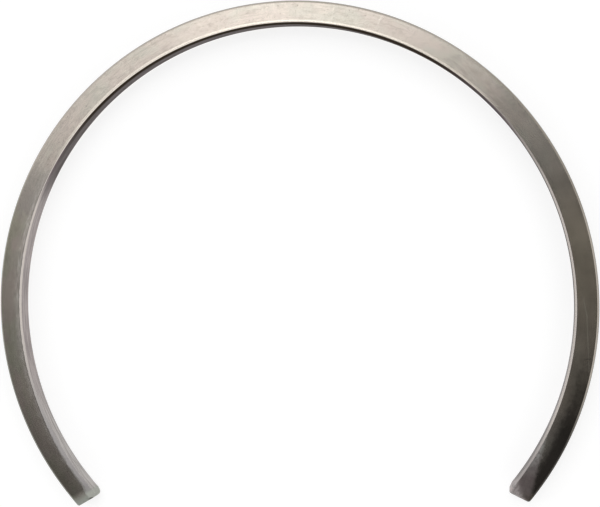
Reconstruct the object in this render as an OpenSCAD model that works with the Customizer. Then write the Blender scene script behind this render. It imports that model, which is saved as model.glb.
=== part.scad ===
// Centering ring: an open, one-piece steel ring of nearly square section.
// It lies in the bore of a split bearing housing, against the side of the
// bearing's outer ring, and fixes the bearing in the middle of its seat.
// The wide gap lets the ring drop over the shaft from above.
//
// Millimetres. The ring's axis is +Z, one side face lies on z = 0, and the
// gap opens towards -Y.

/* [Ring] */
// Outer diameter, the housing bore that the ring lies in
outer_d = 140; // [100:1:200]
// Width along the axis, the play that the ring takes up beside the bearing
ring_w = 5; // [3:0.1:12]
// Radial thickness of the section
ring_t = 5.3; // [4:0.1:10]

/* [Ends] */
// Angle of the gap, between the outer corners of the two ends
gap_angle = 98; // [60:1:120]
// Angle between each end cut and a radius, with the inner corner foremost
end_lean = 13; // [10:1:25]
// Radius on the inner corner of each end, seen along the axis
corner_r = 0.9; // [0.8:0.1:1.6]
// How far the flat beside that corner is set back from the bore, on the cut
corner_relief = 0.3; // [0.2:0.05:0.8]
// Length of the bevel on the outer corner of each end, on the cut
outer_bevel = 0.3; // [0.1:0.05:0.6]

/* [Edges] */
// Bevel on the long edges of both side faces, as wide on the face as it is high
edge_bevel = 0.45; // [0.2:0.05:1]
// Bevel on the edges that the end cuts leave on both side faces
end_edge_bevel = 0.4; // [0.2:0.05:0.7]

/* [Hidden] */
$fn = 64;
outer_r = outer_d / 2;
inner_r = outer_r - ring_t;
// How far a cutting solid runs past what it cuts
past = 1;
// How far the uncut ring runs past each end, on the outer diameter
spare = ring_t * tan(end_lean) + 2 * past;
// How far the form of an end stands above the side faces, so that its bevels
// cross them
proud = 0.05;

// Each end is worked out in its cut's own frame: the origin is the outer
// corner, +X runs along the cut towards the bore, and +Y points into the gap.
// The ring's centre, in that frame
centre = outer_r * [cos(end_lean), -sin(end_lean)];
// Length of the cut, from the outer corner to where it would meet the bore
cut_length = centre.x - sqrt(pow(inner_r, 2) - pow(centre.y, 2));

// Section of a bar with its edges bevelled: from x = 0 to w, and from y = 0
// to h.
module bevelled_section(w, h, bevel) {
    polygon([
        [bevel, 0], [w - bevel, 0], [w, bevel], [w, h - bevel],
        [w - bevel, h], [bevel, h], [0, h - bevel], [0, bevel]
    ]);
}

// The ring with its ends a little too long, before they are cut.
module ring_blank() {
    half_gap = gap_angle / 2 - asin(spare / outer_r);
    rotate([0, 0, half_gap - 90])
        rotate_extrude(angle = 360 - 2 * half_gap)
            translate([inner_r, 0]) bevelled_section(ring_t, ring_w, edge_bevel);
}

// Half of an end's section: from x = 0 to corner_r, bevelled on that side
// alone, and proud of both side faces.
module end_section() {
    height = ring_w + 2 * proud;
    translate([0, -proud]) intersection() {
        translate([-corner_r, 0])
            bevelled_section(2 * corner_r, height, end_edge_bevel + proud);
        square([corner_r, height]);
    }
}

// What an end keeps: a block behind the cut, rounded round its inner corner
// and bevelled along both side faces. Its origin is the middle of that corner's
// radius, so the block's bevelled sides are x = corner_r and y = corner_r.
module end_form() {
    // Far enough back to pass right through the section
    long = 4 * ring_t;
    rotate_extrude(angle = 90) end_section();
    rotate([90, 0, 0]) linear_extrude(long) end_section();
    mirror([-1, 1, 0]) rotate([90, 0, 0]) linear_extrude(long) end_section();
    translate([-long, -long, -proud]) cube([long, long, ring_w + 2 * proud]);
}

// What is cut away at an end: all that stands outside the end's form, down
// to where the flat beside its inner corner has run out into the bore.
module end_cut() {
    depth = 2 * corner_relief / tan(end_lean);
    difference() {
        translate([-past, -depth, -past])
            cube([cut_length + 2 * past, depth + spare + past, ring_w + 2 * past]);
        translate([cut_length - corner_relief - corner_r, -corner_r, 0]) end_form();
    }
}

// What is cut from an end's outer corner: as much off the cut as off the
// ring's outer face.
module end_bevel() {
    half_angle = (90 + end_lean) / 2;
    // The cutting block is several times as large as the corner that it takes
    size = 4 * outer_bevel;
    rotate([0, 0, 180 - half_angle])
        translate([-outer_bevel * cos(half_angle), -size / 2, -past])
            cube([size, size, ring_w + 2 * past]);
}

// Places what it is given at both ends, in the frame of the end's cut.
module at_both_ends() {
    for (side = [0, 1])
        mirror([side, 0, 0])
            rotate([0, 0, gap_angle / 2 - 90]) translate([outer_r, 0, 0])
                rotate([0, 0, 180 + end_lean]) children();
}

module centering_ring() {
    color("#8d8781") difference() {
        ring_blank();
        at_both_ends() end_cut();
        at_both_ends() end_bevel();
    }
}

centering_ring();
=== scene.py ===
import math
from collections import namedtuple

import bmesh
import bpy
from mathutils import Euler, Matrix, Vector


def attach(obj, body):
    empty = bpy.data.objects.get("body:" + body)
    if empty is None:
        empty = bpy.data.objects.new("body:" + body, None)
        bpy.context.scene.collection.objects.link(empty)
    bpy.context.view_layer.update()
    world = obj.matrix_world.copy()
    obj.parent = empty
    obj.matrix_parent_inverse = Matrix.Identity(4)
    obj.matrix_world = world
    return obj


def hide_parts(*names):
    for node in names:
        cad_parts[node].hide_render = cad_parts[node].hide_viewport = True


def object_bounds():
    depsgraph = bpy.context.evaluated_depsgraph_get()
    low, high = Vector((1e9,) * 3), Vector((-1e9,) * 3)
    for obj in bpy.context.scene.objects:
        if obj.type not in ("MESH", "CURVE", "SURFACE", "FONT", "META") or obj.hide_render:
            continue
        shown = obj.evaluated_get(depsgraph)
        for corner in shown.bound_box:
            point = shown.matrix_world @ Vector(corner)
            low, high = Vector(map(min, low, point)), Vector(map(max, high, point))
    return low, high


# An open steel centering ring, lying on a pale studio floor and seen from
# nearly above. Lengths are in metres, and angles in degrees, unless they say
# otherwise.

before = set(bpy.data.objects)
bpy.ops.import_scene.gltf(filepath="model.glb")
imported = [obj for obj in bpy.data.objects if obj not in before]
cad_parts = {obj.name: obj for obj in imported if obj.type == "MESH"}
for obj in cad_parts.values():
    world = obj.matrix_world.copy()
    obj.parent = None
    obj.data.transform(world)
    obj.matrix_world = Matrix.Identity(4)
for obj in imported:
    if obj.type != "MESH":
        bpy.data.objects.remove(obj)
cad_low, cad_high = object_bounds()

MM = 0.001

# ------------------------------------------------------------ the ring's shape

cad_points = [v.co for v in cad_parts["centering_ring"].data.vertices]
OUTER_R = min(cad_high.x, cad_high.y)
BORE_R = min(math.hypot(p.x, p.y) for p in cad_points)
WIDTH = cad_high.z - cad_low.z

GAP_ANGLE = 98          # between the outer corners of the two ends
END_LEAN = 13           # between an end cut and a radius
BEVEL = 0.45 * MM       # on the edges of both side faces, as wide as it is high
BEVEL_TURN = 45         # between a bevel and the face or wall beside it

# The right end's outer corner: its angle from +X, in radians, and its place
CORNER_TURN = math.radians(GAP_ANGLE / 2 - 90)
CORNER_X = OUTER_R * math.cos(CORNER_TURN)
CORNER_Y = OUTER_R * math.sin(CORNER_TURN)

# What differs between the two ends: the radii of their corners, how far the
# flat beside the inner corner is set back from the bore, and by how many times
# its width the bore's bevel has been filed wider at the tip
End = namedtuple("End", "outer_corner inner_corner relief wider")
RIGHT_END = End(outer_corner=0.61 * MM, inner_corner=0.55 * MM, relief=0.42 * MM, wider=0.0)
LEFT_END = End(outer_corner=0.51 * MM, inner_corner=1.00 * MM, relief=0.40 * MM, wider=2.5)

# The left end's bevel widens by this share of that over a long stretch, and by
# the rest of it close to the tip
FILED_SHARE = 0.44
FILED_STRETCH = 26
TIP_STRETCH = 2.6

SOFT_R = 0.08 * MM      # where a bevel meets a face or a wall
GUARD = 0.04 * MM       # a narrow strip that keeps the flats' shading flat

STATIONS = 650          # cross-sections of the mesh along the ring
SOFT_STEPS = 3          # across the radius where a bevel meets a flat
CORNER_STEPS = 8        # round a corner of an end
COLUMNS = 6             # across a side face
SAME_POINT = 1e-7       # points of the mesh that are closer than this are joined


def arc(centre, radius, start, end, steps, radius_y=None):
    """Points on an arc, or on an ellipse's if it has a radius_y, its two ends included.

    The angles are in radians.
    """
    radius_y = radius if radius_y is None else radius_y
    turns = [start + (end - start) * k / steps for k in range(steps + 1)]
    return [
        (centre[0] + radius * math.cos(t), centre[1] + radius_y * math.sin(t))
        for t in turns
    ]


def end_outline(end, inset):
    """One end's outline, from the outer face round to the bore, less an inset.

    It is in the cut's own frame: the outer corner is the origin, +X runs
    along the cut towards the bore, and +Y points into the gap.
    """
    # the ring's centre
    lean = math.radians(END_LEAN)
    cx = OUTER_R * math.cos(lean)
    cy = -OUTER_R * math.sin(lean)
    # the outer corner, whose centre is as deep under the cut as it is under the
    # outer face, and whose arc begins on the line to there from the ring's centre
    depth = max(end.outer_corner, inset)
    corner_x = cx - math.sqrt((OUTER_R - depth) ** 2 - (cy + depth) ** 2)
    facing = math.atan2(-depth - cy, corner_x - cx)
    points = arc(
        (corner_x, -depth),
        max(end.outer_corner - inset, 0),
        facing,
        math.pi / 2,
        CORNER_STEPS,
    )
    # the inner corner, and the flat beside it, which runs out into the bore
    bore_inset = inset * (1 + end.wider)
    flat_x = cx - math.sqrt(BORE_R ** 2 - cy ** 2) - end.relief
    points += arc(
        (flat_x - max(end.inner_corner, bore_inset), -end.inner_corner),
        max(end.inner_corner - bore_inset, 0),
        math.pi / 2,
        0,
        CORNER_STEPS,
        radius_y=max(end.inner_corner - inset, 0),
    )
    x = flat_x - bore_inset
    points.append((x, cy + math.sqrt((BORE_R + bore_inset) ** 2 - (cx - x) ** 2)))
    return points


def placed(points, side):
    """Points from the cut's frame into the ring's, at the right (1) or left (-1) end."""
    turn = CORNER_TURN + math.pi + math.radians(END_LEAN)
    return [
        (
            side * (CORNER_X + math.cos(turn) * x - math.sin(turn) * y),
            CORNER_Y + math.sin(turn) * x + math.cos(turn) * y,
        )
        for x, y in points
    ]


def turn_from_x(point):
    """A point's angle round the axis from +X, in radians, with its jump in the gap."""
    return (math.atan2(point[1], point[0]) + math.pi / 2) % math.tau - math.pi / 2


# where the bore begins at the left end, in radians from +X
LEFT_BORE_START = turn_from_x(placed(end_outline(LEFT_END, 0), -1)[-1])


def filed(turn):
    """By how many times its width the bore's bevel is filed wider.

    The place is given as an angle back from the left end, in radians.
    """
    long = max(0, 1 - turn / math.radians(FILED_STRETCH))
    short = max(0, 1 - turn / math.radians(TIP_STRETCH))
    slow = FILED_SHARE * long ** 2 * (3 - 2 * long)
    quick = (1 - FILED_SHARE) * short ** 2 * (3 - 2 * short)
    return LEFT_END.wider * (slow + quick)


def outline(inset):
    """The ring's whole outline seen from above, less an inset, as a list of points."""
    right = placed(end_outline(RIGHT_END, inset), 1)
    left = placed(end_outline(LEFT_END, inset), -1)
    outer = arc((0, 0), OUTER_R - inset, turn_from_x(right[0]), turn_from_x(left[0]), STATIONS)
    first = turn_from_x(left[-1])
    last = turn_from_x(right[-1])
    bore = []
    for k in range(STATIONS + 1):
        turn = first + (last - first) * k / STATIONS
        r = BORE_R + inset * (1 + filed(first - turn))
        bore.append((r * math.cos(turn), r * math.sin(turn)))
    # an end's first and last points are also in the outer face and the bore
    return outer + left[1:-1] + bore + right[-2:0:-1]


def edge_profile():
    """A bevelled edge in section, as (inset, height) pairs from the lower face up."""
    bevel_turn = math.radians(BEVEL_TURN)
    reach = SOFT_R * math.tan(bevel_turn / 2)
    points = [(BEVEL + reach + GUARD, 0)]
    for k in range(SOFT_STEPS + 1):
        turn = bevel_turn * k / SOFT_STEPS
        inset = BEVEL + reach - SOFT_R * math.sin(turn)
        points.append((inset, SOFT_R * (1 - math.cos(turn))))
    inset, height = points[-1]
    points.append((inset - GUARD, height + GUARD))
    # the other half is the same with inset and height exchanged
    return points + [(height, inset) for inset, height in reversed(points)]


def face_grid(bm, loop):
    """Closes one side face inside a loop of the outline."""
    left_start = STATIONS + 1
    bore_start = left_start + len(end_outline(LEFT_END, 0)) - 2
    right_start = bore_start + STATIONS + 1
    outer = loop[:left_start]
    left = loop[left_start:bore_start]
    bore = loop[bore_start:right_start]
    right = loop[right_start:]
    rows = []
    for a, b in zip(outer, reversed(bore)):
        between = [bm.verts.new(a.co.lerp(b.co, k / COLUMNS)) for k in range(1, COLUMNS)]
        rows.append([a] + between + [b])
    for row, following in zip(rows, rows[1:]):
        for k in range(COLUMNS):
            bm.faces.new((row[k], row[k + 1], following[k + 1], following[k]))
    bm.faces.new(rows[-1] + left[::-1])
    bm.faces.new(rows[0][::-1] + right[::-1])


def ring_mesh():
    """The ring's closed mesh: loops of its outline from face to face, and the two faces."""
    levels = edge_profile()
    levels += [(inset, WIDTH - height) for inset, height in reversed(levels)]

    bm = bmesh.new()
    loops = [
        [bm.verts.new((x, y, height)) for x, y in outline(inset)]
        for inset, height in levels
    ]
    for low, high in zip(loops, loops[1:]):
        for k in range(len(low)):
            after = (k + 1) % len(low)
            bm.faces.new((low[k], low[after], high[after], high[k]))
    for loop in (loops[0], loops[-1]):
        face_grid(bm, loop)
    # a corner's points coincide where the inset has used up its radius
    bmesh.ops.remove_doubles(bm, verts=bm.verts, dist=SAME_POINT)
    bmesh.ops.recalc_face_normals(bm, faces=bm.faces)
    mesh = bpy.data.meshes.new("ring")
    bm.to_mesh(mesh)
    bm.free()
    mesh.shade_smooth()
    return mesh


ring = bpy.data.objects.new("ring_body", ring_mesh())
bpy.context.scene.collection.objects.link(ring)

# --------------------------------------------------------------- node helpers


class Nodes:
    """Builds the nodes of one material or world."""

    def __init__(self, owner):
        owner.use_nodes = True
        self.tree = owner.node_tree
        self.tree.nodes.clear()

    def fill(self, socket, value):
        """Links an input to another node's output, or sets it to a plain value."""
        if isinstance(value, bpy.types.NodeSocket):
            self.tree.links.new(value, socket)
        else:
            socket.default_value = value

    def add(self, kind, inputs=None, **settings):
        """A node with its settings, and with its inputs filled, by name or number."""
        node = self.tree.nodes.new("ShaderNode" + kind)
        for name, value in settings.items():
            setattr(node, name, value)
        for name, value in (inputs or {}).items():
            self.fill(node.inputs[name], value)
        return node

    def math(self, operation, *values):
        """One step of arithmetic on numbers or other nodes' outputs."""
        return self.add("Math", dict(enumerate(values)), operation=operation).outputs[0]

    def vector(self, x, y, z):
        """A vector put together from three numbers or outputs."""
        return self.add("CombineXYZ", {0: x, 1: y, 2: z}).outputs[0]

    def times(self, *values):
        """The product of all the values."""
        product = values[0]
        for value in values[1:]:
            product = self.math("MULTIPLY", product, value)
        return product

    def step(self, value, low, high, to_low=0.0, to_high=1.0):
        """Goes smoothly from to_low at `low` to to_high at `high`, whichever is larger."""
        if low > high:
            low, high, to_low, to_high = high, low, to_high, to_low
        node = self.add(
            "MapRange",
            {0: value, 1: low, 2: high, 3: to_low, 4: to_high},
            interpolation_type="SMOOTHSTEP",
        )
        return node.outputs[0]

    def band(self, value, rise, top, end, fall):
        """1 from top to end, and 0 below rise and above fall."""
        return self.times(self.step(value, rise, top), self.step(value, fall, end))

    def noise(self, vector, scale, detail=2.0, roughness=0.5):
        """Noise from 0 to 1, with about `scale` lumps to the unit of the vector."""
        inputs = {"Vector": vector, "Scale": scale, "Detail": detail, "Roughness": roughness}
        return self.add("TexNoise", inputs).outputs["Fac"]

    def mix(self, factor, a, b):
        """Colour a where the factor is 0, and colour b where it is 1."""
        node = self.add("Mix", data_type="RGBA")
        # the inputs that a mix of colours has: those between are for other kinds
        for index, value in ((0, factor), (6, a), (7, b)):
            self.fill(node.inputs[index], value)
        return node.outputs[2]


def colour(red, green, blue):
    """A colour as nodes take it, with nothing see-through."""
    return (red, green, blue, 1.0)


def grey(level):
    """A neutral colour, from black at 0 to white at 1."""
    return colour(level, level, level)


# ------------------------------------------------------------------ materials

# The places of the marks below are in millimetres, or in degrees from the
# middle of the ring, opposite the gap: + is to the right, and the two ends are
# at about 131 and -131.

# A surface's mask fades from 1 to 0 between these two distances past its edge
FADE_START = 0.03
FADE_END = 0.12


class Place:
    """Where on the ring a point of its surface is: in millimetres and degrees."""

    def __init__(self, n):
        self.n = n
        here = n.add("TexCoord").outputs["Object"]
        mm = n.add("VectorMath", {0: here, "Scale": 1 / MM}, operation="SCALE").outputs[0]
        self.x, self.y, self.z = n.add("SeparateXYZ", {0: mm}).outputs
        squares = n.math("ADD", n.times(self.x, self.x), n.times(self.y, self.y))
        self.radius = n.math("SQRT", squares)
        turn = n.math("ARCTAN2", self.x, self.y)
        self.degrees = n.math("DEGREES", turn)
        # the bar's own coordinates: along its middle line, out from the axis and up
        self.along = n.times(turn, (OUTER_R + BORE_R) / 2 / MM)
        self.bar = n.vector(self.along, self.radius, self.z)
        self.from_bore = n.math("SUBTRACT", self.radius, BORE_R / MM)
        self.from_outside = n.math("SUBTRACT", OUTER_R / MM, self.radius)
        middle = WIDTH / 2 / MM
        off_middle = n.math("ABSOLUTE", n.math("SUBTRACT", self.z, middle))
        self.from_face = n.math("SUBTRACT", middle, off_middle)
        self.from_cut = self.behind_cut()
        self.find_surfaces()
        # from -0.5 to 0.5 in lumps
        lumps = n.noise(self.bar, 0.8, detail=3, roughness=0.6)
        self.ragged = n.math("SUBTRACT", lumps, 0.5)

    def behind_cut(self):
        """How far back a point is from the plane of the nearer end's cut."""
        n = self.n
        facing = CORNER_TURN - math.pi / 2 + math.radians(END_LEAN)
        dx = n.math("SUBTRACT", n.math("ABSOLUTE", self.x), CORNER_X / MM)
        dy = n.math("SUBTRACT", self.y, CORNER_Y / MM)
        into_gap = n.math("ADD", n.times(dx, math.cos(facing)), n.times(dy, math.sin(facing)))
        return n.times(into_gap, -1.0)

    def find_surfaces(self):
        """Makes the masks of the bevels, the bore, the outer face and the ring's left side."""
        n = self.n

        def up_to(measure, edge):
            return n.step(measure, edge + FADE_END, edge + FADE_START)

        # the bore's bevel, filed wider at the left end, is this many times BEVEL wide
        tip = 90 - math.degrees(LEFT_BORE_START)
        slow = LEFT_END.wider * FILED_SHARE
        quick = LEFT_END.wider * (1 - FILED_SHARE)
        wider = n.math(
            "ADD",
            n.step(self.degrees, tip + FILED_STRETCH, tip, 1, 1 + slow),
            n.step(self.degrees, tip + TIP_STRETCH, tip, 0, quick),
        )
        # on a bevel, the distances from the two surfaces beside it add up to BEVEL
        corner_in = n.math("ADD", n.math("DIVIDE", self.from_bore, wider), self.from_face)
        corner_out = n.math("ADD", self.from_outside, self.from_face)
        corner_cut = n.math("ADD", self.from_cut, self.from_face)
        self.on_inner_bevel = up_to(corner_in, BEVEL / MM)
        self.on_outer_bevel = up_to(corner_out, BEVEL / MM)
        self.on_end_bevel = up_to(corner_cut, BEVEL / MM)
        self.in_bore = up_to(self.from_bore, 0)
        self.outside = up_to(self.from_outside, 0)
        self.left = n.step(self.degrees, -56, -72)

    def roughened(self, measure, by):
        """A measure that wanders over a range this wide, for a mask with a ragged edge."""
        return self.n.math("ADD", measure, self.n.times(self.ragged, by))

    def stretched(self, along, across):
        """The bar's coordinates, scaled so that noise has longer or shorter lumps along it."""
        n = self.n
        return n.vector(n.times(self.along, along), n.times(self.radius, across), self.z)

    def beyond(self, start, end):
        """How far a point is to the left of a line from start to end."""
        n = self.n
        run = Vector(end) - Vector(start)
        run.normalize()
        dx = n.math("SUBTRACT", self.x, start[0])
        dy = n.math("SUBTRACT", self.y, start[1])
        return n.math("SUBTRACT", n.times(dy, run.x), n.times(dx, run.y))


class Coat:
    """What a surface has on it so far: its colour, and how metallic it is."""

    def __init__(self, n, steel):
        self.n = n
        self.steel = steel
        self.metal = 1.0

    def lay(self, mask, over, cover=1.0, dull=0.0):
        """Lays a colour on where the mask is 1, and takes a share of the metal's shine."""
        n = self.n
        self.steel = n.mix(n.times(mask, cover), self.steel, over)
        if dull:
            self.metal = n.times(self.metal, n.math("SUBTRACT", 1.0, n.times(mask, dull)))


def bare_steel(n, place):
    """Ground steel, in faintly different tints and with fine marks."""
    tint = n.noise(place.stretched(0.10, 0.16), 1.0, detail=3, roughness=0.55)
    steel = n.mix(n.step(tint, 0.36, 0.60), colour(0.56, 0.53, 0.465), colour(0.60, 0.53, 0.475))
    cloud = n.noise(place.bar, 0.5, detail=4, roughness=0.6)
    steel = n.mix(n.step(cloud, 0.30, 0.75, 0.0, 0.30), steel, colour(0.68, 0.62, 0.53))
    grind = n.noise(place.stretched(0.05, 3.0), 1.0)
    steel = n.mix(n.step(grind, 0.50, 0.75, 0.0, 0.30), steel, colour(0.38, 0.35, 0.30))
    rubs = n.noise(place.stretched(1.2, 0.12), 1.0)
    steel = n.mix(n.step(rubs, 0.60, 0.78, 0.0, 0.40), steel, colour(0.76, 0.71, 0.62))
    mottle = n.noise(place.stretched(0.5, 1.0), 1.1, detail=3, roughness=0.6)
    steel = n.mix(n.step(mottle, 0.46, 0.68, 0.0, 0.26), steel, colour(0.33, 0.29, 0.25))
    specks = n.noise(place.bar, 2.2, detail=1)
    return n.mix(n.step(specks, 0.66, 0.73, 0.0, 0.55), steel, colour(0.22, 0.19, 0.165))


def lay_face_tints(n, place, coat):
    """A dull film and pale scuffs at the left, a stain, and browner and duller stretches."""
    dull = n.times(place.left, n.step(place.from_bore, 0.5, 4.5, 0.184, 0.5175))
    hue = n.noise(place.stretched(0.12, 0.25), 1.3)
    film = n.mix(n.step(hue, 0.42, 0.58), colour(0.275, 0.28, 0.19), colour(0.33, 0.275, 0.24))
    coat.lay(dull, film)
    stain = n.band(place.roughened(place.degrees, 6), -71, -67, -61, -57)
    coat.lay(stain, colour(0.36, 0.32, 0.31), cover=0.40)
    brown = n.band(place.degrees, 60, 76, 108, 120)
    coat.lay(brown, colour(0.58, 0.49, 0.375), cover=0.5)
    paler = n.band(place.degrees, 66, 82, 88, 104)
    coat.lay(paler, colour(0.80, 0.70, 0.54), cover=0.5)
    streak = n.noise(place.stretched(0.35, 2.5), 1.0, detail=3, roughness=0.6)
    beside_bore = n.step(place.roughened(place.from_bore, 2.2), 1.9, 0.8)
    scuffed = n.times(place.left, beside_bore, n.step(streak, 0.36, 0.62, 0.2, 1.0))
    coat.lay(scuffed, colour(0.86, 0.80, 0.75), cover=0.6)
    duller = n.band(place.degrees, 42, 54, 66, 78)
    coat.lay(duller, colour(0.36, 0.335, 0.29), cover=0.35)


def scratch(n, place, start, end, width):
    """1 along a straight scratch that runs down from start to end."""
    run_out = 0.5
    core = 0.3 * width
    away = n.math("ABSOLUTE", place.beyond(start, end))
    lengthwise = n.band(place.y, end[1] - run_out, end[1], start[1], start[1] + run_out)
    return n.times(lengthwise, n.step(away, width, core))


def lay_scratches(n, place, coat):
    """Two fine bright scratches at the right, and a dark nick across the lower one."""
    first = scratch(n, place, (66.55, -1.0), (67.13, -4.6), 0.20)
    second = scratch(n, place, (67.13, -4.2), (67.08, -17.0), 0.18)
    for mark in (first, second):
        coat.lay(mark, colour(0.90, 0.84, 0.70), cover=0.5)
    nick_y = -14.2
    away = n.math("ABSOLUTE", n.math("SUBTRACT", place.y, nick_y))
    nick = n.times(n.band(place.x, 66.0, 66.4, 67.4, 67.8), n.step(away, 0.16, 0.05))
    coat.lay(nick, colour(0.16, 0.14, 0.12), cover=0.5)


def lay_oil(n, place, coat):
    """Thin oil that has darkened the face towards the right end."""
    along = place.roughened(place.degrees, 14)
    across = place.roughened(place.from_bore, 2)
    oiled = n.times(n.step(along, 98, 116), n.step(across, 0.6, 3.2, 0.10, 1.0))
    coat.lay(oiled, colour(0.06, 0.052, 0.045), cover=0.8)
    film = n.times(n.step(along, 82, 112), n.step(across, 3.4, 1.4))
    coat.lay(film, colour(0.46, 0.42, 0.36), cover=0.2, dull=0.055)


def lay_rubbed_patch(n, place, coat):
    """The oil is rubbed off inside a slanting line near the right end."""
    inside = place.roughened(place.beyond((57.9, -29.4), (54.4, -41.0)), 1.0)
    near_end = n.times(n.step(inside, 0.5, -0.8), n.step(place.y, -25.0, -30.0))
    patch = n.times(near_end, n.step(place.x, 10, 20))
    worn = n.mix(n.step(place.y, -33, -41), colour(0.76, 0.74, 0.71), colour(0.32, 0.27, 0.26))
    spots = n.noise(place.bar, 1.5, detail=3, roughness=0.6)
    worn = n.mix(n.step(spots, 0.44, 0.60, 0.0, 0.5), worn, colour(0.24, 0.20, 0.20))
    coat.lay(patch, worn, dull=0.045)
    return patch


def lay_rims(n, place, coat):
    """The outer bevel, darkened as a painted dark reflection, most at the left, and dark at the
    right.
    """
    toward_right = n.step(place.degrees, -10, 15)
    # painted dark reflection: the outer bevel darker than the face, and darkest at the left
    rim = n.mix(toward_right, colour(0.43, 0.39, 0.34), colour(0.38, 0.345, 0.30))
    rim = n.mix(place.left, rim, colour(0.27, 0.262, 0.215))
    rim = n.mix(n.step(place.degrees, -88, -106), rim, colour(0.19, 0.185, 0.155))
    coat.lay(place.on_outer_bevel, rim)
    right_side = n.times(place.on_outer_bevel, n.band(place.degrees, 35, 50, 70, 80))
    coat.lay(right_side, colour(0.25, 0.225, 0.19), cover=0.8)
    oily = n.times(place.on_outer_bevel, n.step(place.degrees, 104, 120))
    coat.lay(oily, colour(0.018, 0.015, 0.013), cover=0.95)


def lengthwise_streaks(n, place):
    """Noise from 0 to 1 in long streaks round the outer face and the bore."""
    where = n.vector(n.times(place.along, 0.08), 0.0, place.z)
    return n.noise(where, 1.6, detail=3, roughness=0.6)


def lay_outer_face(n, place, coat, streak):
    """The outer face, streaked and dull with handling, with dirt along its edges."""
    coat.lay(place.outside, colour(0.35, 0.335, 0.305), dull=0.4)
    streaked = n.times(place.outside, n.step(streak, 0.40, 0.62))
    coat.lay(streaked, colour(0.17, 0.155, 0.135), cover=0.5, dull=0.1)
    prints = n.noise(place.bar, 0.35, detail=3, roughness=0.6)
    handled = n.times(place.outside, n.step(prints, 0.48, 0.66))
    coat.lay(handled, colour(0.20, 0.18, 0.15), cover=0.4)
    near_edge = n.step(place.roughened(place.from_face, 0.9), 1.1, 0.6)
    edge_dirt = n.times(place.outside, near_edge)
    coat.lay(edge_dirt, colour(0.07, 0.065, 0.055), cover=0.8, dull=0.6)


def lay_bore(n, place, coat, streak):
    """The bore, streaked, with painted shade opposite the gap and along its lower edge at the
    right.
    """
    coat.lay(place.in_bore, colour(0.34, 0.295, 0.285))
    greyer = n.times(place.in_bore, n.step(place.degrees, -90, 60))
    coat.lay(greyer, colour(0.20, 0.18, 0.172), dull=0.5)
    paler = n.times(place.in_bore, n.step(place.degrees, -97, -120))
    coat.lay(paler, colour(0.42, 0.395, 0.375))
    streaked = n.times(place.in_bore, n.step(streak, 0.42, 0.62))
    coat.lay(streaked, colour(0.16, 0.14, 0.135), cover=0.45, dull=0.2)
    # painted shade: the bore darker opposite the gap, with darker streaks in it
    top_shade = n.times(place.in_bore, n.band(place.degrees, -69, -57, 48, 58))
    coat.lay(top_shade, colour(0.168, 0.145, 0.143), dull=0.8)
    streaks_in_top_shade = n.times(top_shade, n.step(streak, 0.40, 0.60))
    coat.lay(streaks_in_top_shade, colour(0.075, 0.068, 0.062), cover=0.5)
    grimy = n.times(place.in_bore, n.band(place.degrees, 38, 50, 84, 104))
    coat.lay(grimy, colour(0.07, 0.063, 0.06), cover=0.9, dull=0.8)
    # painted shade along the bore's lower edge, towards the right
    low_edge_shade = n.times(place.in_bore, n.step(place.z, 1.6, 0.7), n.step(place.degrees, 44, 60))
    coat.lay(low_edge_shade, colour(0.09, 0.08, 0.075), cover=0.7, dull=0.6)


def lay_lip(n, place, coat):
    """The bore's bevel: a painted highlight opposite the gap, chipped and then matt at the left.
    """
    bevel = place.on_inner_bevel
    toward_left = n.step(place.degrees, -88, -118)
    steel = n.mix(toward_left, colour(0.47, 0.43, 0.40), colour(0.28, 0.265, 0.26))
    coat.lay(bevel, steel)
    near_end = n.times(bevel, n.step(place.degrees, 112, 126))
    coat.lay(near_end, colour(0.33, 0.305, 0.295))
    matt = n.times(bevel, n.step(place.degrees, -108, -122))
    coat.lay(matt, colour(0.37, 0.35, 0.345), dull=0.75)
    upper_edge = n.step(place.roughened(place.from_face, 0.5), 0.10, 0.02)
    chips = n.times(bevel, place.left, upper_edge)
    coat.lay(chips, colour(0.20, 0.19, 0.17), cover=0.55)
    grimy = n.times(bevel, n.band(place.degrees, 44, 52, 58, 74))
    coat.lay(grimy, colour(0.22, 0.20, 0.18), cover=0.7)
    # a painted highlight opposite the gap, past the bevel onto the face, but not into the bore
    from_corner = n.math("ADD", place.from_bore, place.from_face)
    near_corner = n.times(n.step(from_corner, 1.05, 0.62), n.step(place.from_bore, 0.0, 0.05))
    painted_highlight = n.times(near_corner, n.band(place.degrees, -62, -46, 40, 56))
    coat.lay(painted_highlight, colour(0.90, 0.83, 0.73), cover=0.84)


def paint_shade_under_lip(n, place, coat):
    """Painted shade and a black painted dark reflection under the lip, reaching further down
    towards the right.
    """
    depth = n.math("SUBTRACT", WIDTH / MM, place.z)
    # at the left the lip is a little wider, and the painted shade starts lower
    from_lip = n.math("SUBTRACT", depth, n.step(place.degrees, -15, 20, 0.14, 0.0))
    below = n.times(n.step(from_lip, -0.04, 0.10), n.step(place.from_bore, 0.42, 0.30))
    # painted shade on the lower part of the bevel and the top of the bore
    lip_shade = n.times(n.band(place.degrees, -68, -58, 50, 60), below, n.step(depth, 0.65, 0.45))
    coat.lay(lip_shade, colour(0.17, 0.14, 0.145), dull=0.75)
    past_reach = n.math("SUBTRACT", depth, n.step(place.degrees, 0, 40, 1.4, 3.4))
    # a painted dark reflection: a black line down the bore under the lip
    dark_reflection = n.times(
        n.band(place.degrees, -61, -41, 32, 57),
        n.step(past_reach, 0.5, -0.5),
        below,
    )
    coat.lay(dark_reflection, colour(0.035, 0.026, 0.018), dull=1.0)


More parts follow.
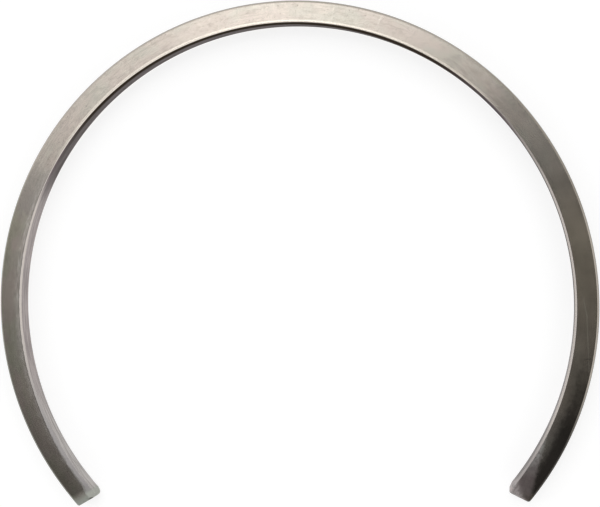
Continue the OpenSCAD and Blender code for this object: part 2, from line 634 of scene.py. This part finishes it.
def lay_left_tip(n, place, coat):
    """The left end, matt and paler towards the cut, with dirt on the cut's edge."""
    left = n.step(place.x, 0, -10)
    near_cut = n.step(place.roughened(place.from_cut, 0.9), 3.1, 0.5)
    tip = n.times(left, near_cut, n.step(place.from_bore, 0.5, 1.4, 0.75, 1.0))
    coat.lay(tip, colour(0.31, 0.325, 0.29), dull=0.9)
    corner = n.times(left, n.step(place.from_cut, 2.2, 1.4), n.step(place.from_bore, 1.9, 1.5))
    coat.lay(corner, colour(0.40, 0.41, 0.37), dull=0.9)
    cut_edge = n.times(left, place.on_end_bevel, n.step(place.from_bore, 2.6, 1.6))
    spots = n.times(cut_edge, n.step(place.ragged, -0.10, 0.02))
    coat.lay(spots, colour(0.06, 0.055, 0.05), cover=0.85)


def lay_right_tip(n, place, coat):
    """The right end, dark at the outside, and matt and pale round its inner corner."""
    right = n.step(place.x, 0, 10)
    outer = n.times(right, n.step(place.from_cut, 3.0, 0.8), n.step(place.from_bore, 2.0, 3.2))
    coat.lay(outer, colour(0.065, 0.055, 0.045), cover=0.75, dull=0.5)
    slant = n.math("ADD", place.from_cut, n.times(place.from_bore, 0.9))
    streak = n.noise(place.stretched(1.0, 2.2), 1.0, roughness=0.6)
    pale = n.times(right, n.step(slant, 4.6, 2.0), n.step(streak, 0.40, 0.60, 0.30, 1.0))
    coat.lay(pale, colour(0.47, 0.43, 0.425), dull=0.85)
    bevels = n.math("MAXIMUM", place.on_inner_bevel, place.on_end_bevel)
    rims = n.times(right, bevels, n.step(slant, 3.2, 1.8))
    coat.lay(rims, colour(0.27, 0.255, 0.25), cover=0.75)


def ground_steel():
    """Bare ground steel, lightly oiled, with worn edges, stains and scratches, and painted
    highlight and shade at its edges and in the bore.
    """
    material = bpy.data.materials.new("ground_steel")
    n = Nodes(material)
    place = Place(n)
    coat = Coat(n, bare_steel(n, place))
    lay_face_tints(n, place, coat)
    lay_scratches(n, place, coat)
    lay_oil(n, place, coat)
    patch = lay_rubbed_patch(n, place, coat)
    lay_rims(n, place, coat)
    streak = lengthwise_streaks(n, place)
    lay_outer_face(n, place, coat, streak)
    lay_bore(n, place, coat, streak)
    lay_lip(n, place, coat)
    paint_shade_under_lip(n, place, coat)
    lay_left_tip(n, place, coat)
    lay_right_tip(n, place, coat)
    uneven = n.noise(place.bar, 0.2)
    rough = n.math("ADD", n.step(uneven, 0.2, 0.8, 0.22, 0.26), n.times(patch, 0.11))
    grain = n.noise(place.bar, 5.0, detail=3, roughness=0.6)
    grain_height = 0.006 * MM
    bump = n.add("Bump", {"Height": grain, "Distance": grain_height, "Strength": 1.0})
    shader = n.add(
        "BsdfPrincipled",
        {
            "Base Color": coat.steel,
            "Metallic": coat.metal,
            "Roughness": rough,
            "Specular IOR Level": 0.0,
            "Normal": bump.outputs[0],
        },
    )
    n.add("OutputMaterial", {0: shader.outputs[0]})
    return material


ring.data.materials.append(ground_steel())
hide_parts("centering_ring")
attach(ring, "root")

# --------------------------------------------------------------------- studio

FLOOR_R = 3.0
FLOOR_SIDES = 96
FLOOR_LEVEL = 0.8       # its grey for the light that it throws back onto the ring
SHADED_LEVEL = 0.32     # the part of its white that the ring's shadow darkens
GLOW_LEVEL = 0.76       # and the part that stays


def floor_material():
    """Pale and matt. The camera and reflections see it white, with the ring's shadow."""
    material = bpy.data.materials.new("pale_floor")
    n = Nodes(material)
    path = n.add("LightPath").outputs
    seen = n.math("MAXIMUM", path["Is Camera Ray"], path["Is Glossy Ray"])
    seen = n.math("MAXIMUM", seen, path["Is Transmission Ray"])
    matt = n.add("BsdfDiffuse", {"Color": grey(FLOOR_LEVEL)})
    shaded = n.add("BsdfDiffuse", {"Color": grey(SHADED_LEVEL)})
    glow = n.add("Emission", {"Color": grey(1), "Strength": GLOW_LEVEL})
    white = n.add("AddShader", {0: shaded.outputs[0], 1: glow.outputs[0]})
    both = n.add("MixShader", {0: seen, 1: matt.outputs[0], 2: white.outputs[0]})
    n.add("OutputMaterial", {0: both.outputs[0]})
    return material


bpy.ops.mesh.primitive_circle_add(vertices=FLOOR_SIDES, radius=FLOOR_R, fill_type="NGON")
floor = bpy.context.object
floor.name = "floor"
floor.data.materials.append(floor_material())


def toward(azimuth, tilt):
    """The direction at an azimuth, counted from +X to +Y, and a tilt from straight up."""
    return Vector((
        math.sin(math.radians(tilt)) * math.cos(math.radians(azimuth)),
        math.sin(math.radians(tilt)) * math.sin(math.radians(azimuth)),
        math.cos(math.radians(tilt)),
    ))


# A level of 1 is what the camera would see as plain white
TENT_LEVEL = 1.25
OPENING_LEVEL = 0.06
OPENING_MIDDLE = toward(-95, 12)
OPENING_INNER = 23      # how far from its middle the opening starts to get brighter
OPENING_OUTER = 54      # how far from its middle the tent reaches its own level


def studio_world():
    """A pale light tent, with a wide dim opening overhead that the camera looks in by."""
    world = bpy.data.worlds.new("studio")
    bpy.context.scene.world = world
    n = Nodes(world)
    direction = n.add("TexCoord").outputs["Generated"]
    facing = n.add("VectorMath", {0: direction, 1: OPENING_MIDDLE}, operation="DOT_PRODUCT")
    level = n.step(
        facing.outputs["Value"],
        math.cos(math.radians(OPENING_INNER)),
        math.cos(math.radians(OPENING_OUTER)),
        OPENING_LEVEL,
        TENT_LEVEL,
    )
    sky = n.add("Background", {"Color": grey(1), "Strength": level})
    n.add("OutputWorld", {0: sky.outputs[0]})


studio_world()

LAMP_DISTANCE = 2.5


def softbox(name, azimuth, tilt, wide, high, radiance):
    """A rectangular area light aimed at the ring, as wide and high as those angles.

    Its radiance is 1 where the camera would see it as plain white.
    """
    lamp = bpy.data.lights.new(name, "AREA")
    lamp.shape = "RECTANGLE"
    lamp.size = 2 * LAMP_DISTANCE * math.tan(math.radians(wide / 2))
    lamp.size_y = 2 * LAMP_DISTANCE * math.tan(math.radians(high / 2))
    lamp.energy = radiance * math.pi * lamp.size * lamp.size_y
    holder = bpy.data.objects.new(name, lamp)
    outward = toward(azimuth, tilt)
    holder.location = outward * LAMP_DISTANCE
    holder.rotation_euler = outward.to_track_quat("Z", "Y").to_euler()
    holder.visible_camera = False
    bpy.context.scene.collection.objects.link(holder)


softbox("key_softbox", azimuth=101, tilt=21.2, wide=24, high=22, radiance=1.88)
softbox("side_softbox", azimuth=155, tilt=25, wide=36, high=22, radiance=0.22)
softbox("strip_softbox", azimuth=155, tilt=23, wide=10, high=22, radiance=0.72)

# --------------------------------------------------------------------- camera

CAMERA_TILT = (-1.301, 9.884, -2.723)   # round X, Y and Z, from looking straight down
CAMERA_DISTANCE = 281.7 * MM
CAMERA_LENS = 73.05                     # in millimetres, on a 36 mm sensor
NEAREST_SEEN = 10 * MM
# From the middle of the ring's box to the point that the camera looks at
AIM_FROM_CENTRE = Vector((3.19, -0.21, 0)) * MM

camera_data = bpy.data.cameras.new("camera")
camera_data.lens = CAMERA_LENS
camera_data.clip_start = NEAREST_SEEN
camera = bpy.data.objects.new("camera", camera_data)
camera.rotation_euler = Euler([math.radians(a) for a in CAMERA_TILT])
aim_point = (cad_low + cad_high) / 2 + AIM_FROM_CENTRE
away = camera.rotation_euler.to_matrix() @ Vector((0, 0, CAMERA_DISTANCE))
camera.location = aim_point + away
bpy.context.scene.collection.objects.link(camera)
bpy.context.scene.camera = camera

bpy.context.scene.view_settings.view_transform = "Standard"
